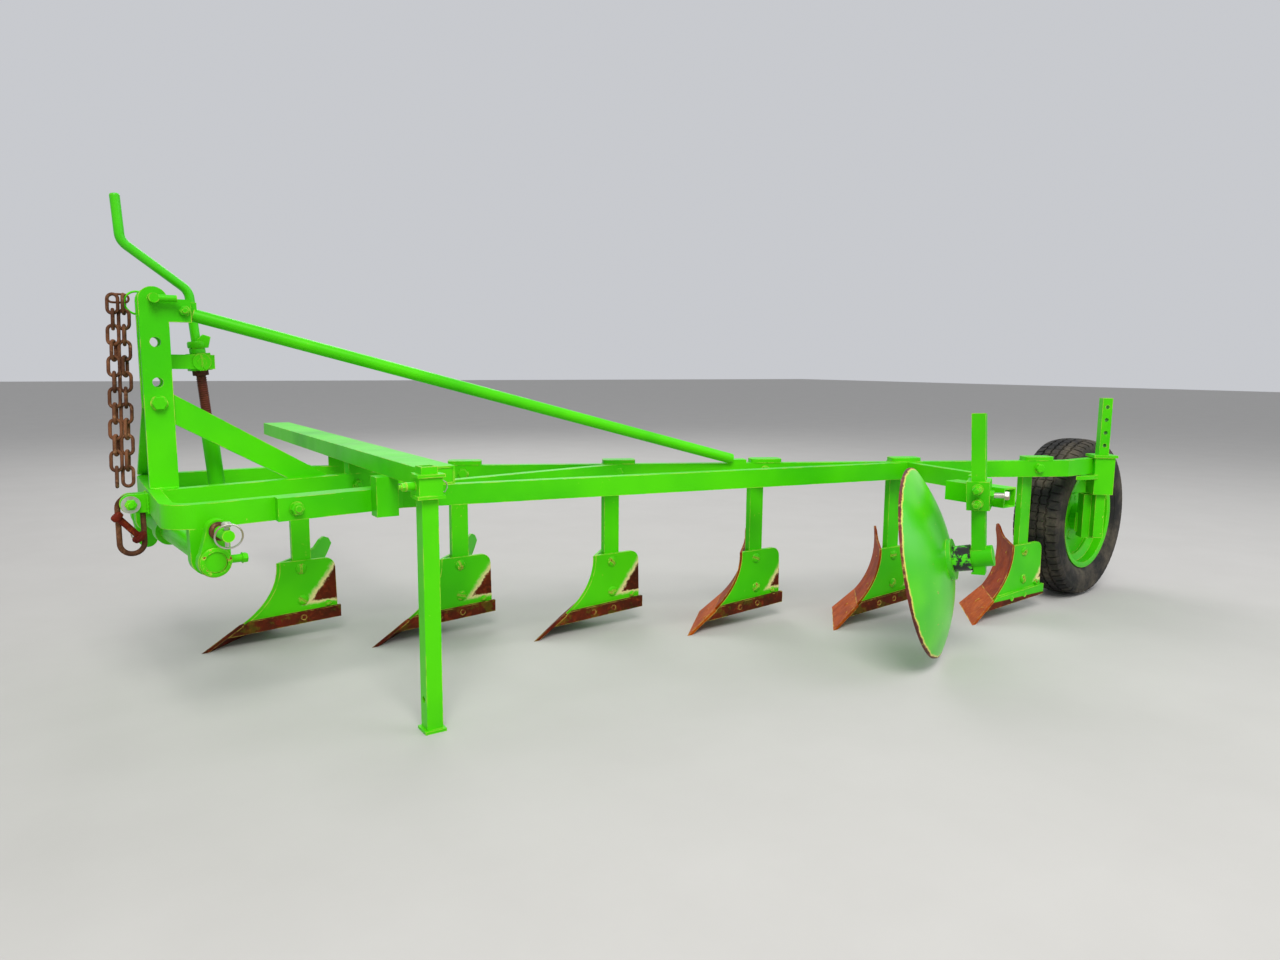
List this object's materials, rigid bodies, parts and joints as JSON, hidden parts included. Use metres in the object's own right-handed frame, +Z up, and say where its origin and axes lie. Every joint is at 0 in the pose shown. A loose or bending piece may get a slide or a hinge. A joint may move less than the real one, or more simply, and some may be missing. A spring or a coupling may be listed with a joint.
{
  "type": "moldboard plough",
  "caption": "Mounted moldboard plough with a slanting main beam, a disc coulter, a rear depth wheel, a parking leg and a headstock with turning cross shaft.",
  "frame": {"origin": "middle of the bounding box at ground level", "axes": "+X to the plough's rear, +Y to its right, +Z up"},
  "size_m": [3.688, 2.368, 1.3716],
  "materials": {
    "green_paint": "gloss, worn, rusty at its edges",
    "rusty_steel": "rusty, part polished by soil",
    "bare_steel": "dull zinc",
    "tyre": "dusty rubber"
  },
  "bodies": {
    "frame": {"front_bar": "green_paint", "middle_bar": "green_paint", "side_beam": "green_paint", "main_beam": "green_paint", "cross_beam": "green_paint", "beam_brackets": "green_paint", "leg_sleeve": "green_paint", "left_upright": "green_paint", "right_upright": "green_paint", "strut": "green_paint", "top_stay": "green_paint", "top_pin": "bare_steel", "shaft_bearings": "green_paint", "screw_bracket": "green_paint", "trunnion": "bare_steel", "screw": "rusty_steel", "clevis": "green_paint", "chain": "rusty_steel", "leg_1": "green_paint", "leg_2": "green_paint", "leg_3": "green_paint", "leg_4": "green_paint", "leg_5": "green_paint", "leg_6": "green_paint", "landside_1": "green_paint", "landside_2": "green_paint", "landside_3": "green_paint", "landside_4": "green_paint", "landside_5": "green_paint", "landside_6": "green_paint", "mouldboard_1": "green_paint", "mouldboard_2": "green_paint", "mouldboard_3": "green_paint", "mouldboard_4": "rusty_steel", "mouldboard_5": "rusty_steel", "mouldboard_6": "rusty_steel", "share_1": "rusty_steel", "share_2": "rusty_steel", "share_3": "rusty_steel", "share_4": "rusty_steel", "share_5": "rusty_steel", "share_6": "rusty_steel", "coulter_arm": "green_paint", "coulter_sleeve": "green_paint", "wheel_collar": "green_paint"},
    "hitch_shaft": {"cross_shaft": "green_paint", "left_crank": "green_paint", "right_crank": "green_paint"},
    "screw_nut": {"screw_tube": "green_paint"},
    "parking_leg": {"parking_leg": "green_paint"},
    "coulter_shank": {"coulter_shank": "green_paint"},
    "coulter_disc": {"coulter_disc": "green_paint"},
    "wheel_post": {"wheel_post": "green_paint"},
    "rear_wheel": {"wheel_rim": "green_paint", "tyre": "tyre"}
  },
  "joints": [
    {"name": "hitch_turn", "type": "hinge", "parent": "frame", "child": "hitch_shaft", "pos_m": [-1.69924, -0.034, 0.45], "axis": [-0.0924, 0.9957, 0], "range_deg": [-8, 8]},
    {"name": "screw_travel", "type": "slide", "parent": "frame", "child": "screw_nut", "axis": [-0.0833, -0.0077, 0.9965], "range_m": [-0.021, 0.021]},
    {"name": "parking_leg_height", "type": "slide", "parent": "frame", "child": "parking_leg", "axis": [0, 0, 1], "range_m": [0, 0.4]},
    {"name": "coulter_height", "type": "slide", "parent": "frame", "child": "coulter_shank", "axis": [-0.0906, 0, 0.9959], "range_m": [-0.05, 0.05]},
    {"name": "coulter_spin", "type": "hinge", "parent": "coulter_shank", "child": "coulter_disc", "pos_m": [0.29576, -0.989, 0.318], "axis": [0.4637, -0.8612, 0.2079], "continuous": true},
    {"name": "wheel_height", "type": "slide", "parent": "frame", "child": "wheel_post", "axis": [0, 0, 1], "range_m": [-0.19, 0]},
    {"name": "wheel_spin", "type": "hinge", "parent": "wheel_post", "child": "rear_wheel", "pos_m": [1.51976, -0.756, 0.321], "axis": [-0.0993, 0.9951, 0], "continuous": true}
  ],
  "couplings": [
    {"joint": "screw_travel", "follows": "hitch_turn", "m_per_rad": -0.143}
  ]
}
